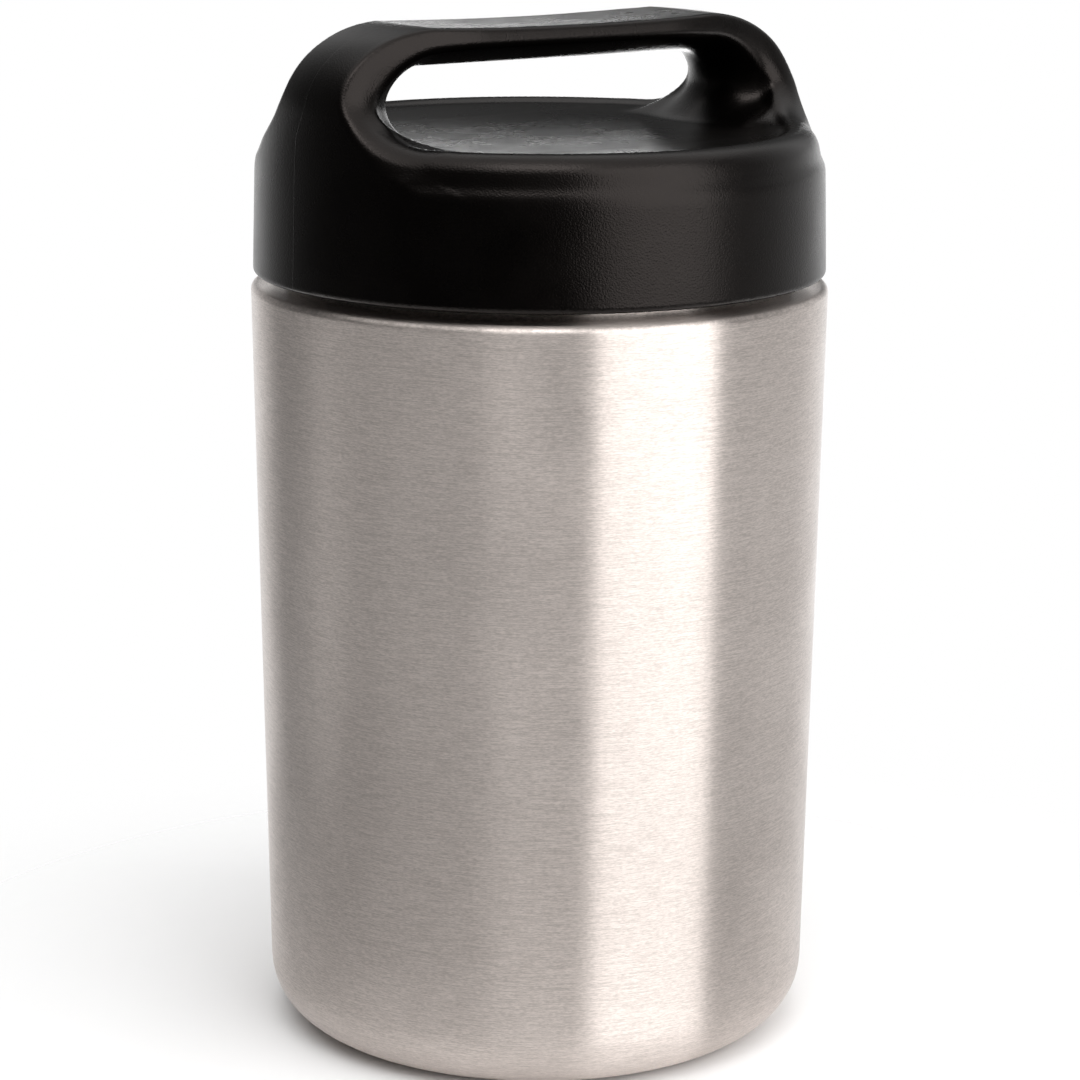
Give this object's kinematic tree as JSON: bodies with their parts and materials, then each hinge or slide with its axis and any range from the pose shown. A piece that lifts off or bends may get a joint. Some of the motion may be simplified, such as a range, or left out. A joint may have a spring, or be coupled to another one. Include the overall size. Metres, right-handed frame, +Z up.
{
  "type": "insulated food jar",
  "caption": "Vacuum-walled steel food jar with a screw-on lid whose moulded handle arches across the top.",
  "frame": {"origin": "middle of the foot, on the surface that the jar stands on", "axes": "+Z up along the jar's axis, +X along the handle, +Y to the jar's back"},
  "size_m": [0.089, 0.089, 0.1584],
  "materials": {
    "outer_steel": "fine brushed, the grain running round the jar",
    "vessel_steel": "satin, as drawn and cleaned",
    "base_steel": "pressed, satin, with faint turning marks",
    "solder": "dull solder",
    "copper": "bright copper foil",
    "getter": "pressed dark powder",
    "silicone": "translucent white silicone",
    "lid_plastic": "warm black, fine moulded grain with a soft sheen",
    "liner_plastic": "black, smooth moulded",
    "foam": "fine closed-cell foam"
  },
  "bodies": {
    "jar": {"outer_shell": "outer_steel", "inner_vessel": "vessel_steel", "base_plate": "base_steel", "base_cover": "base_steel", "port_seal": "solder", "copper_foil": "copper", "getter": "getter", "getter_clip": "vessel_steel"},
    "seal": {"lid_gasket": "silicone"},
    "lid": {"lid_shell": "lid_plastic", "lid_liner": "liner_plastic", "lid_foam": "foam"}
  },
  "joints": [
    {"name": "lid_lift", "type": "slide", "parent": "jar", "child": "seal", "axis": [0, 0, 1], "range_m": [0, 0.0158]},
    {"name": "lid_turn", "type": "hinge", "parent": "seal", "child": "lid", "pos_m": [0, 0, 0.134], "axis": [0, 0, 1], "range_deg": [0, 630]}
  ],
  "couplings": [
    {"joint": "lid_lift", "follows": "lid_turn", "m_per_rad": 0.0014324}
  ]
}
